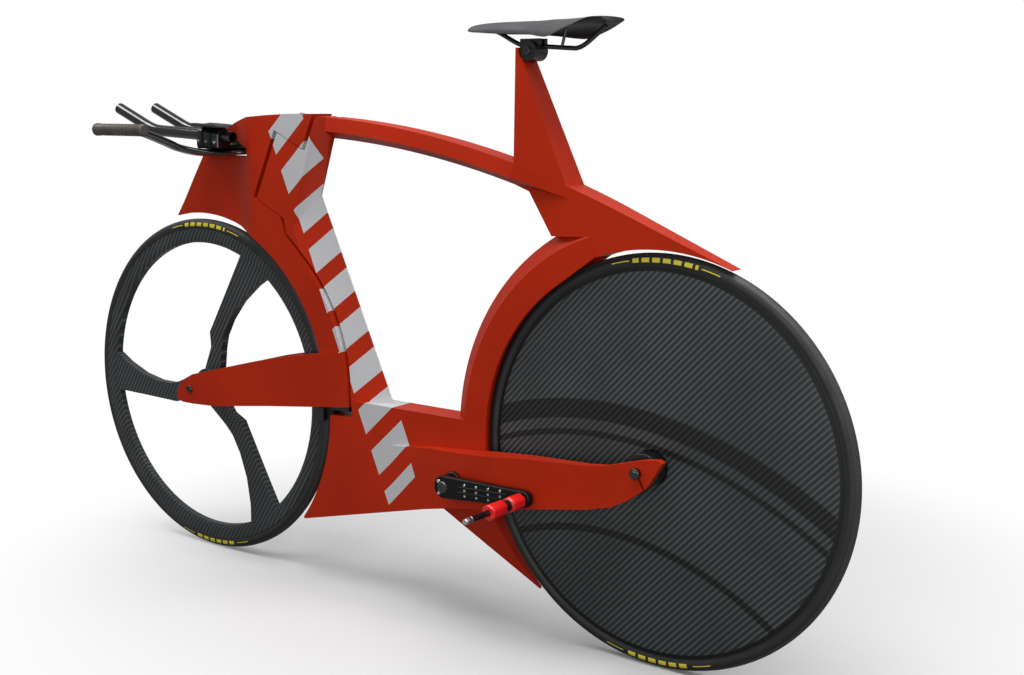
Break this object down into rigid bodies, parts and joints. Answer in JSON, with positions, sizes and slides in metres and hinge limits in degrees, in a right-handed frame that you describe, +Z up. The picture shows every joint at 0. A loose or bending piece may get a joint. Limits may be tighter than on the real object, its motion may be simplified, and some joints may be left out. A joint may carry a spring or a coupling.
{
  "type": "triathlon bike",
  "caption": "Triathlon bike with a moulded monocoque frame, a front unit hinged behind a three-spoke wheel, aero bars, a disc rear wheel and a chain drive.",
  "frame": {"origin": "the rider's place on top of the saddle, in the bike's middle plane", "axes": "+X forward, +Y left, +Z up"},
  "size_m": [1.7219, 0.48, 1.035],
  "materials": {
    "frame_paint": "satin paint",
    "carbon": "woven carbon",
    "tyre_rubber": "matt",
    "black_alloy": "black anodised",
    "steel": "brushed",
    "saddle_cover": "satin",
    "grip_rubber": "matt",
    "pedal_red": "gloss"
  },
  "bodies": {
    "frame": {"down_tube": "frame_paint", "top_tube": "frame_paint", "tail": "frame_paint", "seat_mast": "frame_paint", "seat_band": "frame_paint", "belly": "frame_paint", "lower_fin": "frame_paint", "chainstay_left": "frame_paint", "chainstay_right": "frame_paint", "bottom_bracket": "black_alloy", "rear_axle": "steel", "seat_clamp": "black_alloy", "saddle_rail": "steel", "saddle": "saddle_cover", "chain": "steel", "rear_derailleur": "black_alloy", "jockey_wheels": "black_alloy"},
    "front_unit": {"head_nose": "frame_paint", "wheel_fairing": "frame_paint", "fork_arm_left": "frame_paint", "fork_arm_right": "frame_paint", "hinge_pin": "steel", "front_axle": "steel", "front_brake": "black_alloy", "base_bar": "carbon", "grip_left": "grip_rubber", "grip_right": "grip_rubber", "extension_left": "carbon", "extension_right": "carbon", "extension_clamps": "black_alloy", "arm_pad_left": "grip_rubber", "arm_pad_right": "grip_rubber"},
    "front_wheel": {"front_rim": "carbon", "front_tyre": "tyre_rubber", "front_hub": "black_alloy"},
    "rear_wheel": {"rear_disc": "carbon", "rear_tyre": "tyre_rubber", "rear_hub": "black_alloy", "cassette": "steel"},
    "crank": {"crank_spindle": "steel", "crank_arm_left": "black_alloy", "crank_arm_right": "black_alloy", "chainring": "black_alloy", "pedal_pin_left": "steel", "pedal_pin_right": "steel"},
    "left_pedal": {"pedal_left": "pedal_red"},
    "right_pedal": {"pedal_right": "pedal_red"}
  },
  "joints": [
    {"name": "steering", "type": "hinge", "parent": "frame", "child": "front_unit", "pos_m": [0.557, 0, -0.143], "axis": [-0.4266, 0, 0.9045], "range_deg": [-20, 20]},
    {"name": "front_wheel_spin", "type": "hinge", "parent": "front_unit", "child": "front_wheel", "pos_m": [0.85, 0, -0.695], "axis": [0, 1, 0], "continuous": true},
    {"name": "rear_wheel_spin", "type": "hinge", "parent": "frame", "child": "rear_wheel", "pos_m": [-0.2, 0, -0.695], "axis": [0, 1, 0], "continuous": true},
    {"name": "crank_spin", "type": "hinge", "parent": "frame", "child": "crank", "pos_m": [0.1725, 0, -0.776], "axis": [0, 1, 0], "continuous": true},
    {"name": "left_pedal_spin", "type": "hinge", "parent": "crank", "child": "left_pedal", "pos_m": [0.00515, 0.14, -0.76899], "axis": [0, 1, 0], "continuous": true},
    {"name": "right_pedal_spin", "type": "hinge", "parent": "crank", "child": "right_pedal", "pos_m": [0.33985, -0.14, -0.78301], "axis": [0, 1, 0], "continuous": true}
  ]
}
